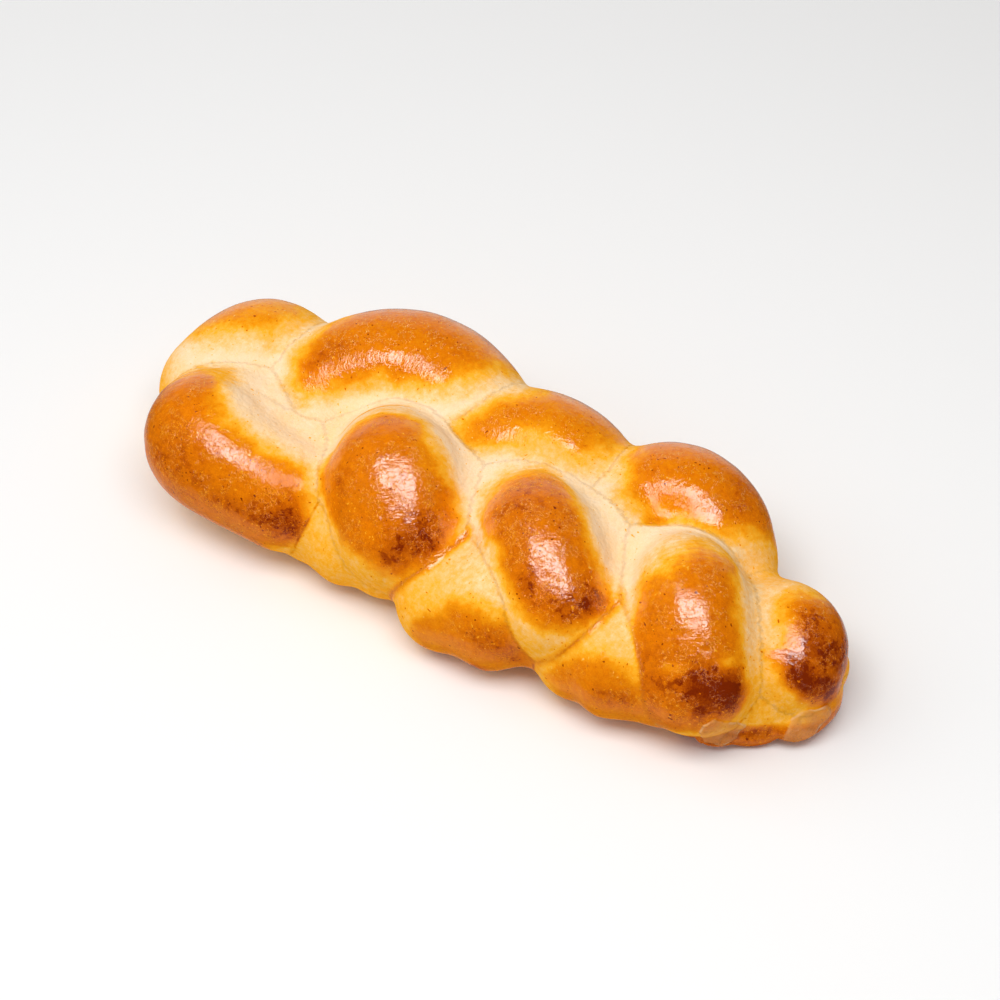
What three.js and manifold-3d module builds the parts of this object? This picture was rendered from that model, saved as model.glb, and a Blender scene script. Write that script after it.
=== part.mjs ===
// A butter plait: four strands of rich dough, plaited, glazed with egg and baked as one loaf.
// Millimetres. X runs along the loaf towards its tucked-in end, Y to the back and Z up.
// The loaf lies on its flat base, and its origin is the middle of that base.

import * as THREE from 'three';
import { mergeVertices } from 'three/addons/utils/BufferGeometryUtils.js';
import Module from 'manifold-3d';

// Driving dimensions
const PITCH = 63;                // from one crossing of the strands to the next, along the loaf
const MIDDLE_LINE = -12;         // the middle row of lobes lies a little in front of the centre line
const BACK_LINE = 34;
const FRONT_LINE = -33;
const UNDER_RADIUS = 18;         // radius of a strand where it runs beneath another
const UNDER_HEIGHT = 16;         // height of its middle there
const UNDER_REACH = 26;          // how far from the centre line it may run there
const CORE = { length: 262, width: 78, height: 53, y: 8 };

// Fineness of the faces
const ROUND_SIDES = 24;
const CAP_RINGS = 5;
const LOBE_RINGS = 9;

const CRUST = { color: 0xd9902f, roughness: 0.42, metalness: 0 };

// Each lobe is one swelling of a strand: its crown's place, the way that it heads on plan, how far
// it runs before and after the crown, and how it bows, drops and thins towards its two ends.
// sag stretches its lower half, where the dough has slumped onto the tray.
const LOBES = {
  back1: { x: -1.94 * PITCH, y: BACK_LINE - 8, z: 29, heading: 20, before: 24, after: 26,
    bow: -35, radius: 26, start: { z: 23, r: 24 }, end: { z: 23, r: 22 }, sag: 1.15 },
  back2: { x: -1.02 * PITCH, y: BACK_LINE + 6, z: 39.5, heading: 10, before: 35, after: 33,
    bow: -22, radius: 25.5, start: { z: 31, r: 24 }, end: { z: 31, r: 27 }, sag: 1.35 },
  back3: { x: -0.02 * PITCH, y: BACK_LINE - 3, z: 34, heading: 10, before: 33, after: 28,
    bow: -20, radius: 26, start: { z: 27, r: 23 }, end: { z: 26, r: 24 }, sag: 1.3 },
  back4: { x: 0.97 * PITCH, y: BACK_LINE + 2, z: 35, heading: 0, before: 24, after: 22,
    bow: -28, radius: 22.5, start: { z: 29, r: 21.5 }, end: { z: 24, r: 22.8 }, sag: 1.25 },
  back5: { x: 1.9 * PITCH, y: 4, z: 23.5, heading: -35, before: 16, after: 10,
    bow: -20, radius: 22, start: { z: 17, r: 20 }, end: { z: 22.5, r: 19.5 } },
  middle1: { x: -1.86 * PITCH, y: MIDDLE_LINE - 12.5, z: 32.8, heading: -58, before: 23, after: 39,
    bow: 49, radius: 26.2, start: { z: 27.5, r: 20.8 }, end: { z: 28, r: 22 }, sag: 1.1 },
  middle2: { x: -0.59 * PITCH, y: MIDDLE_LINE - 2, z: 40, heading: -52, before: 14, after: 14,
    bow: 0, radius: 28, start: { z: 37, r: 23 }, end: { z: 33, r: 26.5 } },
  middle3: { x: 0.4 * PITCH, y: MIDDLE_LINE - 1.5, z: 41.5, heading: -44, before: 21, after: 23,
    bow: 0, radius: 23.2, start: { z: 33, r: 19.5 }, end: { z: 33, r: 22.5 } },
  middle4: { x: 1.395 * PITCH, y: MIDDLE_LINE - 2.2, z: 38.8, heading: -55, before: 16, after: 17.5,
    bow: 0, radius: 22.5, start: { z: 35, r: 20.5 }, end: { z: 26, r: 22.8 } },
  front1: { x: -0.76 * PITCH, y: FRONT_LINE + 4, z: 20, heading: -5, before: 19, after: 16,
    bow: 0, radius: 21, start: { z: 16, r: 17.5 }, end: { z: 18, r: 17 } },
  front2: { x: 0.3 * PITCH, y: FRONT_LINE - 0.5, z: 21.5, heading: 12, before: 20, after: 20,
    bow: 0, radius: 24.8, start: { z: 18, r: 20.5 }, end: { z: 20, r: 18.5 } },
  front3: { x: 1.08 * PITCH, y: FRONT_LINE - 0.5, z: 20.5, heading: 8, before: 13, after: 20,
    bow: 0, radius: 22, start: { z: 18, r: 18 }, end: { z: 20, r: 19 } },
  front4: { x: 1.8 * PITCH, y: FRONT_LINE + 17, z: 11, heading: 34, before: 18, after: 20,
    bow: 0, radius: 17.5, start: { z: 9, r: 15 }, end: { z: 10, r: 16.5 } },
};

// Dough that has swollen up between the lobes and fills the hollows: the middle and the radius.
const SWOLLEN = [
  { x: -88, y: 10, z: 22, radius: 26 },
  { x: -112, y: 8, z: 18, radius: 23 },
  { x: -100, y: -4, z: 24, radius: 24 },
  { x: -79, y: -5, z: 21, radius: 24 },
  { x: -9, y: 7, z: 25, radius: 23 },
  { x: 43, y: 11, z: 30, radius: 23 },
  { x: 61, y: 24, z: 22, radius: 25 },
  { x: 100, y: -2, z: 21, radius: 22 },
];

// The lobes that each strand makes in turn. Between two of them it runs beneath another strand.
const STRANDS = [
  ['back1', 'middle2', 'front3', 'back5'],
  ['middle1', 'front2', 'back4'],
  ['front1', 'back3', 'middle4'],
  ['back2', 'middle3', 'front4'],
];

const radians = THREE.MathUtils.degToRad;

// The three knots of a lobe, each a point of the strand's middle line with its radius.
function lobeKnots(lobe) {
  const enter = radians(lobe.heading - lobe.bow);
  const leave = radians(lobe.heading + lobe.bow);
  return [
    { point: new THREE.Vector3(lobe.x - lobe.before * Math.cos(enter),
      lobe.y - lobe.before * Math.sin(enter), lobe.start.z), radius: lobe.start.r },
    { point: new THREE.Vector3(lobe.x, lobe.y, lobe.z), radius: lobe.radius },
    { point: new THREE.Vector3(lobe.x + lobe.after * Math.cos(leave),
      lobe.y + lobe.after * Math.sin(leave), lobe.end.z), radius: lobe.end.r },
  ];
}

// The stretch of a strand that runs beneath another, from the end of one lobe to the next.
// It keeps to the middle of the loaf, so that the notches between the lobes stay open.
function underKnots(from, to) {
  const beneath = (point) => {
    const y = THREE.MathUtils.clamp(point.y, -UNDER_REACH, UNDER_REACH);
    return { point: new THREE.Vector3(point.x, y, UNDER_HEIGHT), radius: UNDER_RADIUS };
  };
  const halfway = from.point.clone().lerp(to.point, 0.5);
  return [beneath(from.point), beneath(halfway), beneath(to.point)];
}

// A closed, round-ended body along three knots: a capsule whose points are moved onto a parabola
// that starts at the first knot, passes the second halfway and ends at the third.
function roundBody(knots, sag = 1) {
  const [start, crown, end] = knots.map((knot) => knot.point);
  const pull = crown.clone().multiplyScalar(2).addScaledVector(start, -0.5).addScaledVector(end, -0.5);
  const curve = new THREE.QuadraticBezierCurve3(start, pull, end);
  const length = curve.getLength();
  const geometry = new THREE.CapsuleGeometry(1, length, CAP_RINGS, ROUND_SIDES, LOBE_RINGS);
  const position = geometry.attributes.position;
  const up = new THREE.Vector3(0, 0, 1);
  for (let i = 0; i < position.count; i++) {
    const along = THREE.MathUtils.clamp(position.getY(i) / length + 0.5, 0, 1);
    const beyond = position.getY(i) - (along - 0.5) * length;
    const centre = curve.getPointAt(along);
    const forward = curve.getTangentAt(along);
    const side = new THREE.Vector3().crossVectors(forward, up).normalize();
    const upward = new THREE.Vector3().crossVectors(side, forward);
    const radius = radiusAt(knots, along);
    const offset = forward.multiplyScalar(beyond)
      .addScaledVector(side, position.getX(i))
      .addScaledVector(upward, position.getZ(i))
      .multiplyScalar(radius);
    if (offset.z < 0) offset.z *= sag;
    centre.add(offset);
    position.setXYZ(i, centre.x, centre.y, centre.z);
  }
  return geometry;
}

// The radius swells smoothly from the first knot to the middle one and thins again to the last.
function radiusAt(knots, along) {
  const [first, middle, last] = knots.map((knot) => knot.radius);
  const ease = (from, to, t) => THREE.MathUtils.lerp(from, to, THREE.MathUtils.smoothstep(t, 0, 1));
  return along < 0.5 ? ease(first, middle, along * 2) : ease(middle, last, along * 2 - 1);
}

// The crumb inside, where the strands have baked together: a long, low, rounded mound.
function coreBody() {
  const geometry = new THREE.SphereGeometry(1, 32, 16);
  geometry.rotateX(Math.PI / 2);
  geometry.scale(CORE.length / 2, CORE.width / 2, CORE.height);
  geometry.translate(0, CORE.y, 0);
  return geometry;
}

// Joining and cutting
const wasm = await Module();
wasm.setup();

function solidOf(geometry) {
  const bare = geometry.clone();
  bare.deleteAttribute('normal');
  bare.deleteAttribute('uv');
  const merged = mergeVertices(bare, 1e-4);
  const mesh = new wasm.Mesh({ numProp: 3,
    vertProperties: new Float32Array(merged.attributes.position.array),
    triVerts: new Uint32Array(merged.index.array) });
  return new wasm.Manifold(mesh);
}

function geometryOf(solid) {
  const mesh = solid.getMesh();
  const geometry = new THREE.BufferGeometry();
  geometry.setAttribute('position', new THREE.BufferAttribute(new Float32Array(mesh.vertProperties), 3));
  geometry.setIndex(new THREE.BufferAttribute(new Uint32Array(mesh.triVerts), 1));
  geometry.computeVertexNormals();
  return geometry;
}

let loaf = solidOf(coreBody());
for (const { x, y, z, radius } of SWOLLEN) {
  const ball = new THREE.SphereGeometry(radius, ROUND_SIDES, ROUND_SIDES / 2);
  ball.translate(x, y, z);
  loaf = loaf.add(solidOf(ball));
}
for (const lobe of Object.values(LOBES)) {
  loaf = loaf.add(solidOf(roundBody(lobeKnots(lobe), lobe.sag)));
}
for (const strand of STRANDS) {
  const knots = strand.map((name) => lobeKnots(LOBES[name]));
  for (let i = 1; i < knots.length; i++) {
    loaf = loaf.add(solidOf(roundBody(underKnots(knots[i - 1][2], knots[i][0]))));
  }
}

// The tray flattens the base.
const TRAY = { length: 400, width: 240, depth: 60 };
const tray = new THREE.BoxGeometry(TRAY.length, TRAY.width, TRAY.depth);
tray.translate(0, 0, -TRAY.depth / 2);
loaf = loaf.subtract(solidOf(tray));

// Crumb fills the small pockets that the strands shut in between them, so the outer skin is all
// that is kept.
function outerSkin(geometry) {
  const index = geometry.index.array;
  const parent = Array.from({ length: geometry.attributes.position.count }, (_, i) => i);
  const root = (i) => {
    while (parent[i] !== i) i = parent[i];
    return i;
  };
  for (let i = 0; i < index.length; i += 3) {
    parent[root(index[i + 1])] = root(index[i]);
    parent[root(index[i + 2])] = root(index[i]);
  }
  const sizes = new Map();
  for (const vertex of index) sizes.set(root(vertex), (sizes.get(root(vertex)) ?? 0) + 1);
  const largest = [...sizes].reduce((best, entry) => (entry[1] > best[1] ? entry : best))[0];
  geometry.setIndex(Array.from(index).filter((_, i) => root(index[i - (i % 3)]) === largest));
  return mergeVertices(geometry);
}

const shape = outerSkin(geometryOf(loaf));
shape.computeBoundingBox();
const middle = shape.boundingBox.getCenter(new THREE.Vector3());
shape.translate(-middle.x, -middle.y, 0);

const plait = new THREE.Mesh(shape, new THREE.MeshStandardMaterial(CRUST));
plait.name = 'butter_plait';

const part = new THREE.Group();
part.add(plait);

export default part;
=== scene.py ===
import math

import bpy
import numpy as np
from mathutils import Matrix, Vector, noise


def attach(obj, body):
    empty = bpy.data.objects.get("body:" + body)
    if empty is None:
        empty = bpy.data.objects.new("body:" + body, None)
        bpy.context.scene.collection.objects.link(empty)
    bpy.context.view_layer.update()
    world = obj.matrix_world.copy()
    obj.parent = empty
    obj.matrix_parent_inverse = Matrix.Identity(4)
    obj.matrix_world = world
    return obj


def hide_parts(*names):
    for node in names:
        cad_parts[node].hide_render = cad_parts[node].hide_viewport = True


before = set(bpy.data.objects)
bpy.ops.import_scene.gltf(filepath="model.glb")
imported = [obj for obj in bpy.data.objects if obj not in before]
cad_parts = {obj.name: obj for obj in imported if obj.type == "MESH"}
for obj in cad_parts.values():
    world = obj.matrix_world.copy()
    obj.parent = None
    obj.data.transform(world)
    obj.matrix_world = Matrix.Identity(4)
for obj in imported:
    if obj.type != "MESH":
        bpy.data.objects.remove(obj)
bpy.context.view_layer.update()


# The table top and the light
# The loaf lies on a plain, matt white table top. One large softbox hangs over it, a little higher
# than the camera and on the same side, and a white wall on the left and the room fill the shadows.
# The glaze mirrors the softbox and, along the outlines, the table and a white backdrop.
LOAF_MIDDLE = Vector((0.0027, 0.0020, 0.030))
CAMERA_AZIMUTH, CAMERA_ELEVATION, CAMERA_DISTANCE = 30, 48, 0.909
CAMERA_LENS, CAMERA_SENSOR = 85, 36
SOFTBOX_AZIMUTH, SOFTBOX_ELEVATION, SOFTBOX_DISTANCE = 22, 73, 1.0
SOFTBOX_WIDTH, SOFTBOX_DEPTH = 0.95, 0.46
SOFTBOX_WATTS = 7.1
WALL_PLACE = Vector((-1.6, -0.6, 1.6))
WALL_SIDE, WALL_WATTS = 2.5, 21
ROOM_COLOUR, ROOM_STRENGTH = (1.0, 0.985, 0.97, 1), 0.35
BEHIND_THE_LOAF = (-0.5, 0.866, 0)
TABLE_SIZE, TABLE_COLOUR = 6, (0.9, 0.9, 0.9, 1)
TABLE_ROUGHNESS, TABLE_SHINE = 0.9, 0.1


def stand_off(azimuth, elevation, distance):
    """A place that far from the loaf's middle. Azimuth 0 is in front of it, on the side of -Y."""
    a, e = math.radians(azimuth), math.radians(elevation)
    way = Vector((math.sin(a) * math.cos(e), -math.cos(a) * math.cos(e), math.sin(e)))
    return LOAF_MIDDLE + way * distance


def facing_loaf(place):
    """The turn that points the camera or a lamp at the loaf from there."""
    return (LOAF_MIDDLE - place).to_track_quat("-Z", "Y").to_euler()


bpy.ops.object.select_all(action="DESELECT")
eye = stand_off(CAMERA_AZIMUTH, CAMERA_ELEVATION, CAMERA_DISTANCE)
bpy.ops.object.camera_add(location=eye, rotation=facing_loaf(eye))
camera = bpy.context.object
camera.name = "camera"
camera.data.lens = CAMERA_LENS
camera.data.sensor_width = CAMERA_SENSOR
bpy.context.scene.camera = camera

lamp_place = stand_off(SOFTBOX_AZIMUTH, SOFTBOX_ELEVATION, SOFTBOX_DISTANCE)
bpy.ops.object.light_add(type="AREA", location=lamp_place, rotation=facing_loaf(lamp_place))
softbox = bpy.context.object
softbox.name = "softbox"
softbox.data.shape = "RECTANGLE"
softbox.data.size = SOFTBOX_WIDTH
softbox.data.size_y = SOFTBOX_DEPTH
softbox.data.energy = SOFTBOX_WATTS

bpy.ops.object.light_add(type="AREA", location=WALL_PLACE, rotation=facing_loaf(WALL_PLACE))
wall = bpy.context.object
wall.name = "white_wall"
wall.data.shape = "SQUARE"
wall.data.size = WALL_SIDE
wall.data.energy = WALL_WATTS
wall.visible_glossy = False

room = bpy.data.worlds.new("white_room")
room.use_nodes = True
backdrop = room.node_tree.nodes["Background"]
backdrop.inputs["Color"].default_value = ROOM_COLOUR
room_nodes, room_links = room.node_tree.nodes, room.node_tree.links


def faded(value, bright_at, dark_at, bright, dark=0.0):
    """A strength that fades from bright to dark as the value goes from one place to the other."""
    node = room_nodes.new("ShaderNodeMapRange")
    node.inputs["From Min"].default_value = dark_at
    node.inputs["From Max"].default_value = bright_at
    node.inputs["To Min"].default_value = dark
    node.inputs["To Max"].default_value = bright
    room_links.new(value, node.inputs["Value"])
    return node.outputs["Result"]


def combined(kind, first, *others):
    """Several strengths multiplied together, or the greatest of them."""
    result = first
    for other in others:
        node = room_nodes.new("ShaderNodeMath")
        node.operation = kind
        room_links.new(result, node.inputs[0])
        room_links.new(other, node.inputs[1])
        result = node.outputs[0]
    return result


# A mirrored ray leaves the loaf some way up, and some way towards what is behind the loaf.
ray_way = room_nodes.new("ShaderNodeTexCoord")
height = room_nodes.new("ShaderNodeSeparateXYZ")
room_links.new(ray_way.outputs["Generated"], height.inputs["Vector"])
behind = room_nodes.new("ShaderNodeVectorMath")
behind.operation = "DOT_PRODUCT"
behind.inputs[1].default_value = BEHIND_THE_LOAF
room_links.new(ray_way.outputs["Generated"], behind.inputs[0])
rise, away = height.outputs["Z"], behind.outputs["Value"]

white_backdrop = combined("MULTIPLY",
                          faded(away, bright_at=0.92, dark_at=0.72, bright=0.75),
                          faded(rise, bright_at=-0.50, dark_at=-0.85, bright=1.0),
                          faded(rise, bright_at=-0.15, dark_at=0.25, bright=1.0, dark=0.45))
white_table = combined("MULTIPLY",
                       faded(rise, bright_at=-0.72, dark_at=-0.48, bright=0.62, dark=0.01),
                       faded(rise, bright_at=-0.80, dark_at=-0.95, bright=1.0, dark=0.15),
                       faded(away, bright_at=0.45, dark_at=0.15, bright=1.0, dark=0.50))
mirrored = combined("MAXIMUM", white_backdrop, white_table)
ray = room_nodes.new("ShaderNodeLightPath")
strength = room_nodes.new("ShaderNodeMix")
strength.inputs["A"].default_value = ROOM_STRENGTH
room_links.new(ray.outputs["Is Glossy Ray"], strength.inputs["Factor"])
room_links.new(mirrored, strength.inputs["B"])
room_links.new(strength.outputs["Result"], backdrop.inputs["Strength"])
bpy.context.scene.world = room
bpy.context.scene.view_settings.view_transform = "Standard"

bpy.ops.mesh.primitive_plane_add(size=TABLE_SIZE, location=(0, 0, 0))
table_top = bpy.context.object
table_top.name = "table_top"
matt_white = bpy.data.materials.new("matt_white")
matt_white.use_nodes = True
paint = matt_white.node_tree.nodes["Principled BSDF"]
paint.inputs["Base Color"].default_value = TABLE_COLOUR
paint.inputs["Roughness"].default_value = TABLE_ROUGHNESS
paint.inputs["Specular IOR Level"].default_value = TABLE_SHINE
table_top.data.materials.append(matt_white)
table_top.visible_glossy = False    # the room stands in for it in reflections


# The strands
# Four strands of rich dough were rolled out and plaited. Each in turn rises over its neighbours as
# a fat round lobe, dives beneath the next strand and comes up again, so thirteen lobes show.
PITCH = 0.063                       # from one crossing of the strands to the next
LAYOUT_MIDDLE = np.array([-0.0067, 0.0045, 0])

# A lobe's middle line passes its crown. It heads that many degrees on plan and turns by bow to each
# side of the crown, runs before and after it, and start and end are its height and radius there.
# sag stretches the lower half, where the dough has slumped onto the tray.
LOBES = {
    "back1": dict(crown=(-1.94 * PITCH, 0.026, 0.029), heading=20, bow=-35, before=0.024, after=0.026,
                  start=(0.023, 0.024), radius=0.026, end=(0.023, 0.022), sag=1.15),
    "back2": dict(crown=(-1.02 * PITCH, 0.040, 0.0395), heading=10, bow=-22, before=0.035, after=0.033,
                  start=(0.031, 0.024), radius=0.0255, end=(0.031, 0.027), sag=1.35),
    "back3": dict(crown=(-0.02 * PITCH, 0.031, 0.034), heading=10, bow=-20, before=0.033, after=0.028,
                  start=(0.027, 0.023), radius=0.026, end=(0.026, 0.024), sag=1.3),
    "back4": dict(crown=(0.97 * PITCH, 0.036, 0.0350), heading=0, bow=-28, before=0.024, after=0.022,
                  start=(0.029, 0.0215), radius=0.0225, end=(0.024, 0.0228), sag=1.25),
    "back5": dict(crown=(1.90 * PITCH, 0.004, 0.0235), heading=-35, bow=-20, before=0.016, after=0.010,
                  start=(0.017, 0.020), radius=0.022, end=(0.0225, 0.0195), sag=1.0),
    "middle1": dict(crown=(-1.86 * PITCH, -0.0245, 0.0328), heading=-58, bow=49, before=0.023, after=0.039,
                    start=(0.0275, 0.0208), radius=0.0262, end=(0.0280, 0.0220), sag=1.1),
    "middle2": dict(crown=(-0.59 * PITCH, -0.014, 0.040), heading=-52, bow=0, before=0.014, after=0.014,
                    start=(0.037, 0.023), radius=0.028, end=(0.033, 0.0265), sag=1.0),
    "middle3": dict(crown=(0.40 * PITCH, -0.0135, 0.0415), heading=-44, bow=0, before=0.021, after=0.023,
                    start=(0.033, 0.0195), radius=0.0232, end=(0.033, 0.0225), sag=1.0),
    "middle4": dict(crown=(1.395 * PITCH, -0.0142, 0.0388), heading=-55, bow=0, before=0.016, after=0.0175,
                    start=(0.035, 0.0205), radius=0.0225, end=(0.026, 0.0228), sag=1.0),
    "front1": dict(crown=(-0.76 * PITCH, -0.029, 0.020), heading=-5, bow=0, before=0.019, after=0.016,
                   start=(0.016, 0.0175), radius=0.021, end=(0.018, 0.017), sag=1.0),
    "front2": dict(crown=(0.3 * PITCH, -0.0335, 0.0215), heading=12, bow=0, before=0.020, after=0.020,
                   start=(0.018, 0.0205), radius=0.0248, end=(0.020, 0.0185), sag=1.0),
    "front3": dict(crown=(1.08 * PITCH, -0.0335, 0.0205), heading=8, bow=0, before=0.013, after=0.020,
                   start=(0.018, 0.018), radius=0.022, end=(0.020, 0.019), sag=1.0),
    "front4": dict(crown=(1.8 * PITCH, -0.016, 0.011), heading=34, bow=0, before=0.018, after=0.020,
                   start=(0.009, 0.015), radius=0.0175, end=(0.010, 0.0165), sag=1.0),
}
# The lobes of each strand, in turn.
STRANDS = [("back1", "middle2", "front3", "back5"), ("middle1", "front2", "back4"),
           ("front1", "back3", "middle4"), ("back2", "middle3", "front4")]
UNDER_HEIGHT, UNDER_RADIUS, UNDER_REACH = 0.016, 0.018, 0.026   # where a strand runs beneath others
ROLL_SIDES, ROLL_RINGS = 48, 32


def lobe_knots(lobe):
    """The start, crown and end of a lobe's middle line, and the strand's radius at each."""
    x, y, z = lobe["crown"]
    enter = math.radians(lobe["heading"] - lobe["bow"])
    leave = math.radians(lobe["heading"] + lobe["bow"])
    before, after = lobe["before"], lobe["after"]
    points = [(x - before * math.cos(enter), y - before * math.sin(enter), lobe["start"][0]), (x, y, z),
              (x + after * math.cos(leave), y + after * math.sin(leave), lobe["end"][0])]
    return np.array(points) - LAYOUT_MIDDLE, (lobe["start"][1], lobe["radius"], lobe["end"][1])


def ease(x):
    """From 0 to 1 like x, but with soft ends."""
    x = np.clip(x, 0, 1)
    return x * x * (3 - 2 * x)


def middle_line(knots, along):
    """Places, directions and radii along the parabola that passes the knots, for along from 0 to 1."""
    (start, crown, end), radii = knots
    pull = 2 * crown - (start + end) / 2
    t = np.asarray(along)[:, None]
    places = (1 - t) ** 2 * start + 2 * t * (1 - t) * pull + t ** 2 * end
    ways = (1 - t) * (pull - start) + t * (end - pull)
    ways /= np.linalg.norm(ways, axis=1)[:, None]
    swell = ease(1 - np.abs(2 * along - 1))
    radius = np.where(along < 0.5, radii[0], radii[2]) * (1 - swell) + radii[1] * swell
    return places, ways, radius


def read_points(mesh):
    """The places of a mesh's points, one a row."""
    flat = np.empty(len(mesh.vertices) * 3)
    mesh.vertices.foreach_get("co", flat)
    return flat.reshape(-1, 3)


def write_points(mesh, points):
    """Puts a mesh's points in those places."""
    mesh.vertices.foreach_set("co", np.ascontiguousarray(points, dtype=np.float64).ravel())
    mesh.update()


def add_roll(name, knots, sag=1.0):
    """A round-ended roll of dough: a sphere drawn out along the parabola that passes the knots."""
    bpy.ops.object.select_all(action="DESELECT")
    bpy.ops.mesh.primitive_uv_sphere_add(segments=ROLL_SIDES, ring_count=ROLL_RINGS, radius=1)
    roll = bpy.context.object
    roll.name = name
    # The sphere's middle half becomes the body, and a quarter at each pole becomes a round end.
    ball = read_points(roll.data)
    height = 1 - np.arccos(np.clip(ball[:, 2], -1, 1)) / math.pi
    along = np.clip(2 * height - 0.5, 0, 1)
    tip = (height - 0.25 - along / 2) * 2 * math.pi
    turn = np.arctan2(ball[:, 1], ball[:, 0])
    places, ways, radius = middle_line(knots, along)
    side = np.cross(ways, (0, 0, 1))
    side /= np.linalg.norm(side, axis=1)[:, None]
    upward = np.cross(side, ways)
    belt = np.cos(turn)[:, None] * upward + np.sin(turn)[:, None] * side
    offset = (ways * np.sin(tip)[:, None] + belt * np.cos(tip)[:, None]) * radius[:, None]
    offset[:, 2] *= np.where(offset[:, 2] < 0, sag, 1)
    write_points(roll.data, places + offset)
    bpy.ops.object.mode_set(mode="EDIT")
    bpy.ops.mesh.select_all(action="SELECT")
    bpy.ops.mesh.normals_make_consistent(inside=False)
    bpy.ops.object.mode_set(mode="OBJECT")
    return roll


def under_knots(leaving, arriving):
    """The knots of the stretch beneath another strand, from the end of one lobe to the next."""
    ends = [leaving[0][2], (leaving[0][2] + arriving[0][0]) / 2, arriving[0][0]]
    points = [(x, float(np.clip(y, -UNDER_REACH, UNDER_REACH)), UNDER_HEIGHT) for x, y, _ in ends]
    return np.array(points), (UNDER_RADIUS,) * 3


KNOTS = {name: lobe_knots(lobe) for name, lobe in LOBES.items()}
rolls = [add_roll(name, KNOTS[name], lobe["sag"]) for name, lobe in LOBES.items()]
for strand in STRANDS:
    for first, second in zip(strand, strand[1:]):
        rolls.append(add_roll("beneath", under_knots(KNOTS[first], KNOTS[second])))


# The crumb and the tucked-under end
# Inside, the strands have baked together into one low mound. At the right end their tips were
# pinched and tucked under, and they stick out round the foot as thin, crumpled flaps of crust.
CORE_LENGTH, CORE_WIDTH, CORE_HEIGHT, CORE_Y = 0.262, 0.078, 0.053, 0.008     # the low mound
SWOLLEN = [   # dough that has risen up between the lobes: its middle and radius
    ((-0.088, 0.010, 0.022), 0.026), ((-0.112, 0.008, 0.018), 0.023),
    ((-0.100, -0.004, 0.024), 0.024), ((-0.079, -0.005, 0.021), 0.024),
    ((-0.009, 0.007, 0.025), 0.023), ((0.043, 0.011, 0.030), 0.023),
    ((0.061, 0.024, 0.022), 0.025), ((0.100, -0.002, 0.021), 0.022),
]
FLAPS = [   # place, half sizes, turn about Z and lean outwards in degrees
    ((0.109, -0.037, 0.007), (0.015, 0.0045, 0.008), 20, 25),
    ((0.1200, -0.0405, 0.009), (0.010, 0.0024, 0.006), 36, 22),
    ((0.128, -0.033, 0.006), (0.012, 0.0040, 0.006), 30, 15),
    ((0.1435, -0.0215, 0.011), (0.012, 0.0034, 0.008), 48, 30),
    ((0.1415, -0.008, 0.013), (0.019, 0.0075, 0.015), 74, 0),
]
BALL_RINGS = 24
FLAP_SIDES, FLAP_RINGS = 32, 16

bpy.ops.object.select_all(action="DESELECT")
bpy.ops.mesh.primitive_uv_sphere_add(segments=ROLL_SIDES, ring_count=BALL_RINGS, radius=1,
                                     location=Vector((0, CORE_Y, 0)) - Vector(LAYOUT_MIDDLE),
                                     scale=(CORE_LENGTH / 2, CORE_WIDTH / 2, CORE_HEIGHT))
rolls.append(bpy.context.object)
for place, radius in SWOLLEN:
    bpy.ops.mesh.primitive_uv_sphere_add(segments=ROLL_SIDES, ring_count=BALL_RINGS, radius=radius,
                                         location=Vector(place) - Vector(LAYOUT_MIDDLE))
    rolls.append(bpy.context.object)
flaps = []
for place, half, turn, lean in FLAPS:
    bpy.ops.mesh.primitive_uv_sphere_add(segments=FLAP_SIDES, ring_count=FLAP_RINGS, radius=1,
                                         scale=half, location=Vector(place),
                                         rotation=(math.radians(-lean), 0, math.radians(turn)))
    flaps.append(bpy.context.object)


# The loaf
# In the oven the strands swell against each other and bake into one piece, with soft, shallow
# creases between them and a flat sole where the loaf sat on the tray.
MILLIMETRE = 0.001
SKIN_GRAIN = 0.00125                # width of the mesh's faces
SOLE_ROUNDING = 0.0025              # height over which the sides curve in to the sole
CREASE_ROUNDING = 0.0045            # radius of the hollow that the swelling dough leaves in a crease
SMOOTHING = 0.5                     # how far a point moves towards its neighbours in one round
PRESSED_ROUNDS, SKIN_ROUNDS, CREASE_ROUNDS = 3, 5, 23   # of smoothing, one step after the other
UPPER_FROM, UPPER_TO = 0.012, 0.042     # heights between which the last smoothing and swelling set in
PLUMPNESS = 0.0001                  # what smoothing takes off the lobes, put back
SWELLINGS = [(0.045, 0.0022), (0.016, 0.0005), (0.0065, 0.00022)]   # size and height of the unevenness
LINE_STEPS = 25                     # places on a lobe's middle line that distances are taken from

bpy.ops.object.select_all(action="DESELECT")
for roll in rolls:
    roll.select_set(True)
bpy.context.view_layer.objects.active = rolls[0]
bpy.ops.object.transform_apply(location=True, rotation=True, scale=True)
bpy.ops.object.join()
loaf = bpy.context.object


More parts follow.
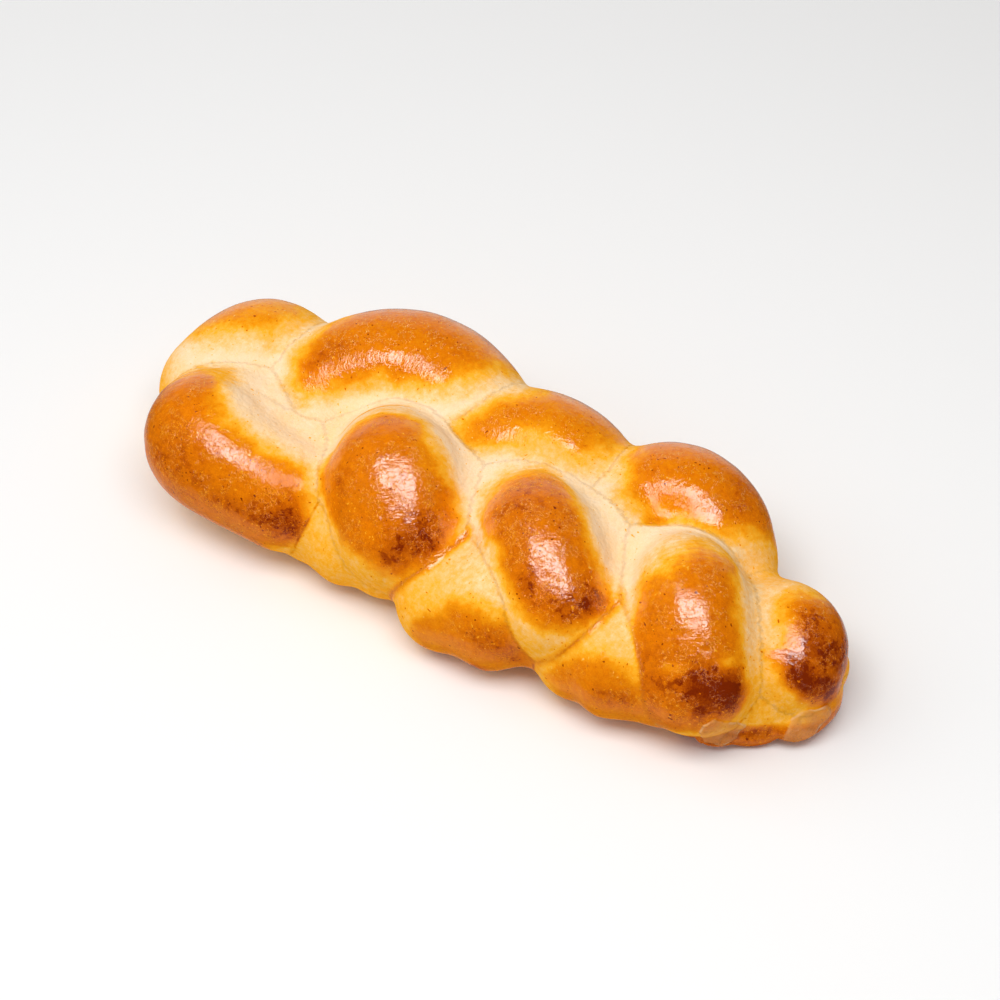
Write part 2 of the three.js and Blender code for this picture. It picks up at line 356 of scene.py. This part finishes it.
def unroll(points, name):
    """How far each point lies from a lobe's surface, along it from the crown and round it, in mm."""
    lobe = LOBES[name]
    steps = np.linspace(0, 1, LINE_STEPS)
    places, ways, radius = middle_line(KNOTS[name], steps)
    lengths = np.concatenate([[0], np.cumsum(np.linalg.norm(np.diff(places, axis=0), axis=1))])
    lengths -= np.interp(0.5, steps, lengths)
    nearest = np.full(len(points), np.inf)
    index = np.zeros(len(points), int)
    for step, (place, reach) in enumerate(zip(places, radius)):
        offset = points - place
        offset[:, 2] /= np.where(offset[:, 2] < 0, lobe["sag"], 1)
        distance = np.linalg.norm(offset, axis=1) - reach
        closer = distance < nearest
        nearest[closer] = distance[closer]
        index[closer] = step
    offset = points - places[index]
    length = np.linalg.norm(offset, axis=1)
    way = ways[index]
    side = np.cross(way, (0, 0, 1))
    side /= np.linalg.norm(side, axis=1)[:, None]
    upward = np.cross(side, way)
    lean = np.arcsin(np.clip((offset * way).sum(1) / length, -1, 1))
    turn = np.arctan2((offset * side).sum(1), (offset * upward).sum(1))
    along = lengths[index] + length * lean
    around = length * turn * np.cos(lean)
    return nearest / MILLIMETRE, along / MILLIMETRE, around / MILLIMETRE


def finish_with(name, kind, **settings):
    """Adds a modifier to the loaf and applies it."""
    modifier = loaf.modifiers.new(name, kind)
    for setting, value in settings.items():
        setattr(modifier, setting, value)
    bpy.ops.object.modifier_apply(modifier=modifier.name)


finish_with("skin", "REMESH", mode="VOXEL", voxel_size=SKIN_GRAIN)
finish_with("press_together", "DISPLACE", strength=CREASE_ROUNDING, mid_level=0)
finish_with("skin", "REMESH", mode="VOXEL", voxel_size=SKIN_GRAIN)
bpy.ops.object.mode_set(mode="EDIT")
bpy.ops.mesh.select_all(action="SELECT")
bpy.ops.mesh.separate(type="LOOSE")
bpy.ops.object.mode_set(mode="OBJECT")
shells = sorted(bpy.context.selected_objects, key=lambda piece: len(piece.data.vertices))
loaf = shells.pop()
for pocket in shells:
    bpy.data.objects.remove(pocket)
bpy.context.view_layer.objects.active = loaf
finish_with("even_skin", "SMOOTH", factor=SMOOTHING, iterations=PRESSED_ROUNDS)
finish_with("draw_back", "DISPLACE", strength=-CREASE_ROUNDING, mid_level=0)
bpy.ops.object.select_all(action="DESELECT")
for piece in flaps + [loaf]:
    piece.select_set(True)
bpy.ops.object.join()
finish_with("skin", "REMESH", mode="VOXEL", voxel_size=SKIN_GRAIN)
loaf.name = "plaited_loaf"
loaf.data.name = "plaited_loaf"

points = read_points(loaf.data)
z = points[:, 2]
pressed = np.clip(z + SOLE_ROUNDING, 0, None) ** 2 / (4 * SOLE_ROUNDING)
points[:, 2] = np.where(z > SOLE_ROUNDING, z, pressed)
write_points(loaf.data, points)
finish_with("even_skin", "SMOOTH", factor=SMOOTHING, iterations=SKIN_ROUNDS)


def mark(name, weights):
    """A vertex group of the loaf with those weights."""
    group = loaf.vertex_groups.new(name=name)
    for index, weight in enumerate(weights):
        group.add([index], float(weight), "REPLACE")


def grow(values, start, end):
    """From nought at the start to 1 at the end, with soft ends."""
    return ease((values - start) / (end - start))


mark("upper", grow(read_points(loaf.data)[:, 2], UPPER_FROM, UPPER_TO))
finish_with("soft_creases", "SMOOTH", factor=SMOOTHING, iterations=CREASE_ROUNDS, vertex_group="upper")
finish_with("plumpness", "DISPLACE", strength=PLUMPNESS, mid_level=0, vertex_group="upper")
for size, rise in SWELLINGS:
    lumps = bpy.data.textures.new("lumps", "CLOUDS")
    lumps.noise_scale = size
    lumps.noise_depth = 1
    finish_with("swelling", "DISPLACE", texture=lumps, texture_coords="LOCAL", strength=rise,
                mid_level=0.5, vertex_group="upper")
loaf.vertex_groups.clear()
bpy.ops.object.shade_smooth()


# The browning
# Egg wash went on the tops of the lobes once the loaf was plaited, and it browned there in the
# oven. Dough that only came out of the creases as the loaf rose stayed pale and matt. Each lobe has
# one brown patch, with darker spots where the oven caught it and paler ones where it was shaded.

# A patch is the outline that a ruler gives on the unrolled lobe, in millimetres along the strand
# from its crown and round it from its top, to the strand's right. Its edge fades that far outwards
# and inwards, and depth is how brown it is.
PATCHES = {
    "back1": dict(depth=0.56, fade=(6, 14), outline=[
        (-28, -45), (-26, -7), (-19, 5), (-10, 13), (-2, 17), (6, 17), (13, 9), (16, -6),
        (15, -45)]),
    "back2": dict(depth=0.68, fade=(6, 14), outline=[
        (-41, -6), (-50, 8), (-47, 25), (-33, 28), (-20, 29), (-8, 30), (5, 30), (15, 28), (24, 20),
        (31, 6), (33, -10), (36, -50), (-10, -50), (-24, -20)]),
    "back3": dict(depth=0.64, fade=(6, 14), outline=[
        (-28, -4), (-33, 8), (-29, 20), (-10, 25), (3, 24), (12, 21), (20, 16), (27, 7), (30, -10),
        (30, -45), (-4, -45), (-11, -11)]),
    "back4": dict(depth=0.68, fade=(6, 13), outline=[
        (-23, -10), (-24, 6), (-24, 20), (-21, 32), (-15, 38), (0, 36), (8, 27), (15, 20), (22, 10),
        (27, -3), (30, -13), (31, -50), (-5, -50)]),
    "back5": dict(depth=0.76, fade=(6, 13), outline=[
        (-8, -28), (-7, -16), (-5, -5), (-3, 5), (5, 12), (15, 13), (23, 8), (28, 2), (33, -8),
        (33, -45), (0, -45)]),
    "middle1": dict(depth=0.70, fade=(5, 14), outline=[
        (-20, 2), (-16, -10), (-8, -13), (0, -12), (8, -10), (15, -7), (21, -6), (30, -5), (40, -6),
        (50, -5), (60, 2), (68, 14), (66, 30), (60, 38), (54, 46), (52, 70), (-20, 70), (-20, 20)]),
    "middle2": dict(depth=0.71, fade=(4, 12), outline=[
        (-19, -8), (-11, -16), (-3, -20), (4, -24), (12, -29), (18, -30), (23, -25), (32, -19),
        (40, -13), (46, 0), (46, 9), (39, 18), (32, 27), (24, 36), (16, 44), (3, 50), (-8, 46),
        (-15, 34), (-21, 16), (-22, 2)]),
    "middle3": dict(depth=0.72, fade=(4, 12), outline=[
        (-20, -16), (-10, -19), (3, -20), (12, -20), (23, -22), (31, -23), (38, -18), (43, -8),
        (45, 6), (41, 17), (31, 25), (18, 30), (2, 31), (-8, 31), (-15, 27), (-21, 14), (-22, 1)]),
    "middle4": dict(depth=0.71, fade=(5, 13), outline=[
        (-15, -26), (-5, -25), (7, -23), (19, -24), (27, -26), (37, -24), (48, -11), (53, 2),
        (52, 24), (44, 34), (29, 40), (16, 41), (7, 40), (-1, 34), (-8, 27), (-14, 17), (-17, 2),
        (-18, -10)]),
    "front1": dict(depth=0.50, fade=(7, 14), outline=[
        (-30, 32), (-20, 28), (-10, 26), (5, 26), (20, 29), (30, 34), (30, 70), (-30, 70)]),
    "front2": dict(depth=0.67, fade=(7, 14), outline=[
        (-36, 20), (-26, 13), (-15, 9), (-6, 9), (3, 12), (11, 13), (19, 17), (30, 21), (36, 36),
        (30, 70), (-34, 70), (-40, 40)]),
    "front3": dict(depth=0.67, fade=(7, 14), outline=[
        (-28, 16), (-18, 9), (-8, 6), (2, 5), (11, 7), (20, 12), (29, 17), (40, 22), (40, 70),
        (-20, 70), (-30, 40)]),
    "front4": dict(depth=0.68, fade=(6, 12), outline=[
        (-40, 14), (-10, 12), (0, 20), (12, 20), (20, 8), (45, -10), (45, 70), (-40, 70)]),
}
SPOTS = {   # along, round, half sizes each way and how much darker, below nought for paler
    "back1": [(-10, -12, 5, 5, 0.06), (4, 7, 5, 4, -0.10)],
    "back2": [(-28, 6, 9, 5, 0.10), (12, -3, 8, 5, 0.04), (20, -14, 10, 7, -0.07),
              (-35, 18, 9, 6, -0.10)],
    "back3": [(3, 12, 10, 5, -0.22), (-6, 3, 9, 4, 0.05)],
    "back4": [(11, -9, 6, 9, 0.08), (-3, 5, 12, 3, 0.02), (-8, 22, 12, 5, -0.12)],
    "back5": [(20, -9, 5, 6, 0.30), (16, -20, 5, 8, 0.18), (13, -5, 5, 5, 0.10), (24, 3, 6, 6, -0.16),
              (2, -14, 6, 7, -0.10)],
    "middle1": [(54, 20, 9, 6, 0.20), (46, 26, 9, 6, 0.12), (30, 28, 8, 4, 0.12), (10, 26, 9, 12, 0.06)],
    "middle2": [(21, -4, 6, 9, 0.18), (28, -10, 5, 5, 0.10), (27, 6, 6, 5, 0.12), (5, 26, 4, 4, 0.03),
                (2, -10, 7, 5, -0.08)],
    "middle3": [(26, -11, 5, 6, 0.16), (27, 2, 4, 6, 0.14), (19, 14, 4, 4, 0.14), (30, -6, 4, 3, 0.12),
                (-2, 8, 7, 9, 0.05)],
    "middle4": [(24, -12, 6, 7, 0.28), (22, 1, 6, 8, 0.26), (29, -4, 6, 9, 0.18), (16, -10, 2, 4, -0.26),
                (17, 10, 2, 6, -0.16), (-7, 10, 6, 7, -0.10), (31, -12, 4, 4, 0.12), (20, 18, 6, 8, 0.08)],
    "front2": [(3, 30, 8, 6, 0.12), (12, 33, 5, 5, 0.08), (-3, 50, 5, 4, 0.26)],
    "front3": [(6, 28, 8, 5, 0.10), (30, 34, 8, 6, 0.10)],
    "front4": [(4, 16, 10, 6, -0.18), (-20, 28, 13, 9, 0.22), (0, 34, 9, 5, 0.12)],
}
SHADED_FOLDS = {   # pairs of lobes whose fold is painted browner as shade, and how brown it is
    ("middle2", "front2"): 0.62, ("middle3", "front3"): 0.54, ("middle3", "front2"): 0.26,
    ("middle2", "front1"): 0.36, ("middle4", "front3"): 0.30, ("front2", "front3"): 0.42,
}
FOLD_WIDTH = 7.5                   # how far the painted fold shade reaches from the fold
PALE_OVERLAP = 3.0                 # how far one lobe's brown runs on over the next
LOW_BROWN, TOP_BROWN = 0.40, 0.06  # of dough with no egg, low on the sides and up between the lobes
PALE_ABOVE = (0.030, 0.048)        # heights between which that dough goes pale
END_HEAT = (0.085, 0.105, 0.35)    # from and to along the loaf, and how much less pale it is there
FRONT_HEAT = (-0.022, -0.037, 0.45)     # the same across the loaf
LEAST_BROWN = 0.2                  # spots show only where the patch is at least that brown
DEEP_INSIDE, OFF_THE_TRAY = (0, 14), (0.006, 0.026)     # a patch is brownest deep inside and higher up
EDGE_SHARE = 0.86                  # how brown it is where it isn't
TUCKED_BROWN, SOLE_BROWN = 0.76, 0.70
TUCKED_ALONG, TUCKED_UP = (0.095, 0.110), (0.017, 0.011)
SOLE_UP, SOLE_FACING = (0.0020, 0.0005), (-0.2, -0.6)   # its height and how far it faces down
SOLE_MOTTLING = 0.03
STEEP_EGG, EGG_FACING = 0.55, (0.05, 0.40)              # the egg is thin on sides that face down
CREASE_STEPS = 31                  # rounds of evening out, against which a crease is measured
CREASE_SUNK = (-0.15, 0.55)        # how far below that the skin lies outside and in a crease
SHADED_CREASES = {   # pairs of lobes with a thin dark line of painted shade in the crease between them, and how strong it is
    ("middle1", "front1"): 0.45, ("middle2", "front2"): 0.10, ("middle3", "front3"): 0.30,
    ("back4", "middle3"): 0.25, ("middle4", "front4"): 0.50, ("back2", "middle1"): 0.06,
    ("front2", "front3"): 0.30, ("back3", "middle2"): 0.06, ("middle2", "middle3"): 0.06,
}
THIN_EGG = [   # lobe, along, round, half sizes each way, and the share of the egg that ran off there
    ("middle1", 43, 9, 13, 9, 0.85), ("middle1", 8, 8, 7, 7, 0.6), ("middle2", 20, 12, 6, 12, 0.5),
    ("middle3", 25, 9, 5, 6, 0.6), ("back2", -34, 14, 8, 12, 0.6), ("back4", 6, 15, 10, 5, 0.7),
    ("back4", -8, 19, 7, 8, 0.75), ("back5", 12, 8, 6, 6, 0.6),
]
CRUMPLED = [   # outlines of the torn flaps: mm along the foot of the tucked end and up from the tray
    [(62, 21), (63, 25), (67, 28), (70, 26), (75, 19), (80, 14), (78, 8), (72, 6), (66, 8), (63, 13)],
    [(94, 5), (94.5, 9), (97, 15), (102, 19), (110, 17), (112, 13), (106, 7), (99, 3)],
]
FOOT_WAY = (0.8, 0.6)              # the way that the foot of the tucked end runs on plan
FLAP_EDGE = 3.0                    # width of the step at a flap's outline in mm
FLAP_ALONG, FLAP_ACROSS = (0.095, 0.105), (0.004, -0.004)
FLAP_RISE, FLAP_STEP = 0.0009, (0.1875, 0.8125)
FLAP_RAGGED = 0.5                  # how ragged a flap is beside a patch
RAGGED = [(7.0, 2.6), (3.0, 1.3)]  # size and depth of the bays in a patch's outline
LOBE_APART = 37.0                  # keeps the wrinkles of one lobe from running on over the next


def patch_depth(outline, along, around):
    """How deep inside a brown patch each point lies, in mm, below nought outside it."""
    place = np.stack([along, around], axis=1)
    corners = np.array(outline, float)
    nearest = np.full(len(place), np.inf)
    inside = np.zeros(len(place), bool)
    for start, end in zip(corners, np.roll(corners, -1, axis=0)):
        side, offset = end - start, place - start
        share = np.clip((offset @ side) / (side @ side), 0, 1)
        nearest = np.minimum(nearest, np.linalg.norm(offset - share[:, None] * side, axis=1))
        spans = (start[1] > around) != (end[1] > around)
        if start[1] != end[1]:
            crossing_at = start[0] + (around - start[1]) * side[0] / side[1]
            inside ^= spans & (along < crossing_at)
    return np.where(inside, nearest, -nearest)


def unevenness(points, size):
    """Smooth noise from -1 to 1 whose lumps are about that many millimetres across."""
    scaled = points / (size * MILLIMETRE)
    return np.array([noise.noise(Vector(point)) for point in scaled])


points = read_points(loaf.data)
x, y, z = points.T
names = list(LOBES)
unrolled = [unroll(points, name) for name in names]
gaps = np.stack([gap for gap, _, _ in unrolled])

# The lobe that each point lies on, the next nearest one, and how far it is to both.
order = np.argsort(gaps, axis=0)
own, next_one = order[0], order[1]
columns = np.arange(len(points))
nearest_gap, second_gap = gaps[own, columns], gaps[next_one, columns]


def spot(lobe, a, s, half_a, half_s):
    """A soft round spot at a along and s round the unrolled lobe: 1 in its middle, nought outside."""
    _, along, around = unrolled[names.index(lobe)]
    return np.exp(-(((along - a) / half_a) ** 2 + ((around - s) / half_s) ** 2))


# Up between the lobes the dough stayed pale. In front and at the tucked end it had more heat.
sheltered = grow(z, *PALE_ABOVE)
for place, (start, end, heat) in ((x, END_HEAT), (y, FRONT_HEAT)):
    sheltered *= 1 - heat * grow(place, start, end)
browning_and_fold_shade = LOW_BROWN + (TOP_BROWN - LOW_BROWN) * sheltered
ragged = sum(depth * unevenness(points, size) for size, depth in RAGGED)
for i, name in enumerate(names):
    _, along, around = unrolled[i]
    patch = PATCHES[name]
    depth = patch_depth(patch["outline"], along, around) + ragged
    fade_out, fade_in = patch["fade"]
    brown_and_fold_shade = patch["depth"] * grow(depth, -fade_out, fade_in)
    brown_and_fold_shade *= EDGE_SHARE + (1 - EDGE_SHARE) * grow(depth, *DEEP_INSIDE)
    for a, s, half_a, half_s, darker in SPOTS.get(name, ()):
        brown_and_fold_shade += darker * spot(name, a, s, half_a, half_s) * (brown_and_fold_shade > LEAST_BROWN)
    brown_and_fold_shade *= EDGE_SHARE + (1 - EDGE_SHARE) * grow(z, *OFF_THE_TRAY)
    reach_over = grow(gaps[i] - nearest_gap, PALE_OVERLAP, 0)
    browning_and_fold_shade = np.maximum(browning_and_fold_shade, brown_and_fold_shade * reach_over)
# Along the folds between these lobes the colour is painted browner: painted shade in the fold.
for pair, brown_and_fold_shade in SHADED_FOLDS.items():
    further = np.maximum(*(gaps[names.index(name)] for name in pair))
    near_both = grow(further - nearest_gap, FOLD_WIDTH, 0)
    browning_and_fold_shade = np.maximum(browning_and_fold_shade, brown_and_fold_shade * near_both)
tucked = grow(x, *TUCKED_ALONG) * grow(z, *TUCKED_UP)
browning_and_fold_shade = np.maximum(browning_and_fold_shade, TUCKED_BROWN * tucked)

# The torn flaps: nought outside their ragged outlines and 1 inside.
foot_place = points[:, :2] @ np.array(FOOT_WAY) / MILLIMETRE
flap = np.zeros(len(points))
for outline in CRUMPLED:
    depth = patch_depth(outline, foot_place, z / MILLIMETRE) + FLAP_RAGGED * ragged
    flap = np.maximum(flap, np.clip(depth / FLAP_EDGE + 0.5, 0, 1))
flap *= grow(x, *FLAP_ALONG) * grow(y, *FLAP_ACROSS)

strand_place = np.zeros((len(points), 3))
for i, (_, along, around) in enumerate(unrolled):
    here = own == i
    strand_place[here, 0] = along[here]
    strand_place[here, 1] = around[here]
    strand_place[here, 2] = i * LOBE_APART


def give_attribute(name, values):
    """Keeps a number or a place for each point of the loaf, for the crust to read."""
    kind, field = ("FLOAT_VECTOR", "vector") if values.ndim == 2 else ("FLOAT", "value")
    kept = loaf.data.attributes.new(name, kind, "POINT")
    kept.data.foreach_set(field, np.ascontiguousarray(values, dtype=np.float32).ravel())


normals = np.empty(len(points) * 3)
loaf.data.vertex_normals.foreach_get("vector", normals)
normals = normals.reshape(-1, 3)
facing_up = normals[:, 2]
glazed = STEEP_EGG + (1 - STEEP_EGG) * grow(facing_up, *EGG_FACING)
for name, a, s, half_a, half_s, thinner in THIN_EGG:
    glazed *= 1 - thinner * spot(name, a, s, half_a, half_s)

# How far each point lies below the skin round it: above nought in a crease.
ends = np.empty(len(loaf.data.edges) * 2, int)
loaf.data.edges.foreach_get("vertices", ends)
one, other = ends.reshape(-1, 2).T


def sum_round(values):
    """The sum over each point's neighbours."""
    count = len(points)
    return np.bincount(one, values[other], count) + np.bincount(other, values[one], count)


neighbours = sum_round(np.ones(len(points)))
evened = points.copy()
for _ in range(CREASE_STEPS):
    evened = np.stack([sum_round(axis) for axis in evened.T], axis=1) / neighbours[:, None]
sunk = ((evened - points) * normals).sum(axis=1) / MILLIMETRE
hollow = grow(sunk, *CREASE_SUNK)

# The sole browned evenly on the tray and has no egg on it.
sole = grow(z, *SOLE_UP) * grow(facing_up, *SOLE_FACING)
browning_and_fold_shade += (SOLE_BROWN + SOLE_MOTTLING * ragged - browning_and_fold_shade) * sole
glazed *= 1 - sole
hollow *= 1 - sole

flap_rise = FLAP_RISE * grow(flap, *FLAP_STEP) * (1 + FLAP_RAGGED * ragged / FLAP_EDGE)
write_points(loaf.data, points + normals * flap_rise[:, None])

# crossing changes its sign from one lobe to the next, so that the line between them is thin.
# The painted shade line in a crease is as strong as the crease is deep and as the pair's strength says.
pair_strength = np.zeros((len(names), len(names)))
for pair, crease_shade_strength in SHADED_CREASES.items():
    i, j = (names.index(name) for name in pair)
    pair_strength[i, j] = pair_strength[j, i] = crease_shade_strength
give_attribute("glazed", glazed)
give_attribute("flap", flap)
give_attribute("browning_and_fold_shade", browning_and_fold_shade)
give_attribute("crossing", np.where(own < next_one, 1, -1) * (second_gap - nearest_gap))
give_attribute("crossing_gap", second_gap - nearest_gap)
give_attribute("crease_shade_strength", hollow * pair_strength[own, next_one])
give_attribute("strand_place", strand_place * MILLIMETRE)


# The crust
# The skin of the loaf: matt, cream dough in the creases, and over it a thin film of baked egg,
# golden to dark brown, glossy, finely wrinkled and flecked with tiny blisters and pores.
CRUST_COLOURS = [   # browning, with the painted shade of folds and creases, and the colour there
    (0.00, (0.960, 0.735, 0.500)), (0.14, (0.950, 0.645, 0.325)), (0.30, (0.950, 0.505, 0.120)),
    (0.42, (0.950, 0.435, 0.026)), (0.55, (0.920, 0.318, 0.004)), (0.68, (0.800, 0.203, 0.001)),
    (0.80, (0.600, 0.122, 0.001)), (0.90, (0.390, 0.060, 0.0006)), (1.00, (0.220, 0.021, 0.0005)),
]
# the flaps' tan, and the paler colour of the painted highlight along their edge
TORN_TAN, FLAP_RIM_HIGHLIGHT = (0.76, 0.32, 0.09, 1), (0.93, 0.52, 0.21, 1)
DOUGH_ROUGHNESS = 0.5
EGG_IOR, EGG_ROUGHNESS = 2.0, 0.07
RELIEF = 0.6                       # millimetres that the relief of the skin stands for
MIX_UNDER, MIX_OVER, MIX_RESULT = 6, 7, 2   # the sockets of a mix of two colours

crust = bpy.data.materials.new("egg_washed_crust")
crust.use_nodes = True
nodes, links = crust.node_tree.nodes, crust.node_tree.links
skin = nodes["Principled BSDF"]
coordinates = nodes.new("ShaderNodeTexCoord")


def attribute(name, output="Fac"):
    """What give_attribute kept for the loaf's points."""
    node = nodes.new("ShaderNodeAttribute")
    node.attribute_name = name
    return node.outputs[output]


def math_of(kind, a, b=0.0, c=0.0, clamp=False):
    """One step of arithmetic on numbers and on what other nodes give."""
    node = nodes.new("ShaderNodeMath")
    node.operation = kind
    node.use_clamp = clamp
    for socket, value in zip(node.inputs, (a, b, c)):
        if isinstance(value, (int, float)):
            socket.default_value = value
        else:
            links.new(value, socket)
    return node.outputs[0]


def product(first, *others):
    """Several strengths multiplied together."""
    for other in others:
        first = math_of("MULTIPLY", first, other)
    return first


def summed(total, shares):
    """The total with that much of each pattern added."""
    for pattern, share in shares:
        total = math_of("MULTIPLY_ADD", pattern, share, total)
    return total


def lumps_of(size, detail=2.0, roughness=0.5, vector=None, stretch=None):
    """Noise whose lumps are about that many millimetres across, between 0 and 1."""
    node = nodes.new("ShaderNodeTexNoise")
    node.inputs["Scale"].default_value = 1 / (size * MILLIMETRE)
    node.inputs["Detail"].default_value = detail
    node.inputs["Roughness"].default_value = roughness
    source = vector or coordinates.outputs["Object"]
    if stretch:
        mapping = nodes.new("ShaderNodeMapping")
        mapping.inputs["Scale"].default_value = stretch
        links.new(source, mapping.inputs["Vector"])
        source = mapping.outputs["Vector"]
    links.new(source, node.inputs["Vector"])
    return node.outputs["Fac"]


def swing_of(size, detail, roughness=0.5):
    """The same noise, half of it below nought."""
    return math_of("SUBTRACT", lumps_of(size, detail, roughness), 0.5)


def ramp(value, low, high, to_low=0.0, to_high=1.0):
    """Like grow, on what a node gives, and from one strength to another."""
    node = nodes.new("ShaderNodeMapRange")
    node.interpolation_type = "SMOOTHSTEP"
    node.inputs["From Min"].default_value = low
    node.inputs["From Max"].default_value = high
    node.inputs["To Min"].default_value = to_low
    node.inputs["To Max"].default_value = to_high
    links.new(value, node.inputs["Value"])
    return node.outputs["Result"]


def laid_over(under, colour, share):
    """A colour with another laid over it."""
    node = nodes.new("ShaderNodeMix")
    node.data_type = "RGBA"
    links.new(share, node.inputs["Factor"])
    links.new(under, node.inputs[MIX_UNDER])
    node.inputs[MIX_OVER].default_value = colour
    return node.outputs[MIX_RESULT]


# The egg browned in clouds and grains, most unevenly at the edge of a patch. The number with each
# pattern below is how much darker it makes the skin.
baked_and_fold_shade = attribute("browning_and_fold_shade")
in_edge = product(ramp(baked_and_fold_shade, 0.04, 0.24, 0.30, 1.0), ramp(baked_and_fold_shade, 0.72, 0.40, 0.40, 1.0))
mottling = product(swing_of(2.0, 3, 0.6), in_edge)

# Where the egg is darkest it blistered: blotches nearly burnt, and thin lighter veins round them.
dark = ramp(baked_and_fold_shade, 0.66, 0.82)
blotches = product(ramp(lumps_of(4.2, 3, 0.6), 0.48, 0.64), dark)
ridge = math_of("ABSOLUTE", swing_of(2.6, 4, 0.65))
veins = product(ramp(ridge, 0.026, 0.0), ramp(lumps_of(7, 2), 0.42, 0.56), ramp(baked_and_fold_shade, 0.56, 0.74))
flecks = product(ramp(lumps_of(1.3, 1), 0.66, 0.74), ramp(lumps_of(9, 2), 0.44, 0.60),
                 ramp(baked_and_fold_shade, 0.40, 0.60))

# A thin dark line of painted shade where two strands meet in a crease, broken here and there, and specks
# in the pale dough.
shaded_crease_line = product(ramp(math_of("ABSOLUTE", attribute("crossing")), 1.0, 0.0),
               ramp(attribute("crossing_gap"), 3.0, 1.6), attribute("crease_shade_strength"),
               ramp(lumps_of(6, 2), 0.42, 0.62, 0.1, 1.0))
specks = product(ramp(lumps_of(1.1, 0), 0.74, 0.82), ramp(lumps_of(5, 1), 0.45, 0.6))
brown_and_painted_shade = summed(baked_and_fold_shade, [(swing_of(7, 3), 0.15), (mottling, 0.42), (swing_of(0.6, 2, 0.7), 0.20),
                           (blotches, 0.15), (veins, -0.24), (flecks, -0.26), (shaded_crease_line, 0.50),
                           (specks, 0.35)])
brown_and_painted_shade = math_of("MULTIPLY", brown_and_painted_shade, 1.0, clamp=True)

colours = nodes.new("ShaderNodeValToRGB")
for _ in range(len(CRUST_COLOURS) - 2):
    colours.color_ramp.elements.new(0.5)
for element, (position, colour) in zip(colours.color_ramp.elements, CRUST_COLOURS):
    element.position = position
    element.color = (*colour, 1)
links.new(brown_and_painted_shade, colours.inputs["Fac"])

# The torn flaps of the tucked end are thin and tan, with a painted highlight along their raised edge.
torn = attribute("flap")
torn_inside = product(ramp(torn, 0.36, 0.60, 0.0, 0.65),
                      ramp(lumps_of(3.5, 3, 0.6), 0.38, 0.58, 0.65, 1.0))
flap_rim_highlight = product(ramp(torn, 0.36, 0.48), ramp(torn, 0.72, 0.54),
                   ramp(lumps_of(6, 2), 0.42, 0.58, 0.1, 0.9))
tan = laid_over(colours.outputs["Color"], TORN_TAN, torn_inside)
links.new(laid_over(tan, FLAP_RIM_HIGHLIGHT, flap_rim_highlight), skin.inputs["Base Color"])

# Bare dough is matt. The egg lies over it as a clear film, thinner here and there.
skin.inputs["Roughness"].default_value = DOUGH_ROUGHNESS
skin.inputs["Specular IOR Level"].default_value = 0.0
skin.inputs["Coat IOR"].default_value = EGG_IOR
skin.inputs["Coat Roughness"].default_value = EGG_ROUGHNESS
egg = product(ramp(baked_and_fold_shade, 0.38, 0.66), ramp(lumps_of(3.0, 3, 0.65), 0.34, 0.46, 0.60, 1.0),
              attribute("glazed"))
links.new(egg, skin.inputs["Coat Weight"])

# The film wrinkled along the strands. Pale dough is lumpy, and the torn flaps are crumpled. The
# number with each pattern is how high it stands.
wrinkles = lumps_of(2.2, 3, 0.6, vector=attribute("strand_place", "Vector"), stretch=(1.6, 0.6, 1.0))
pale_lumps = product(lumps_of(3.0, 3, 0.6), ramp(baked_and_fold_shade, 0.35, 0.10))
blisters = product(lumps_of(1.5, 2), dark)
crumples = product(ramp(torn, 0.30, 0.80), lumps_of(4.0, 3, 0.6))
relief = summed(0.0, [(lumps_of(0.8, 2), 0.07), (wrinkles, 0.34), (lumps_of(4.0, 2), 0.50),
                      (pale_lumps, 1.3), (flecks, 0.06), (blisters, 0.16), (veins, 0.10), (shaded_crease_line, -0.6),
                      (ramp(torn, 0.20, 0.54), 0.2), (crumples, 2.2)])
bump = nodes.new("ShaderNodeBump")
bump.inputs["Strength"].default_value = 1.0
bump.inputs["Distance"].default_value = RELIEF * MILLIMETRE
links.new(relief, bump.inputs["Height"])
links.new(bump.outputs["Normal"], skin.inputs["Normal"])
links.new(bump.outputs["Normal"], skin.inputs["Coat Normal"])

loaf.data.materials.clear()
loaf.data.materials.append(crust)
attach(loaf, "root")
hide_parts("butter_plait")

bpy.context.view_layer.update()
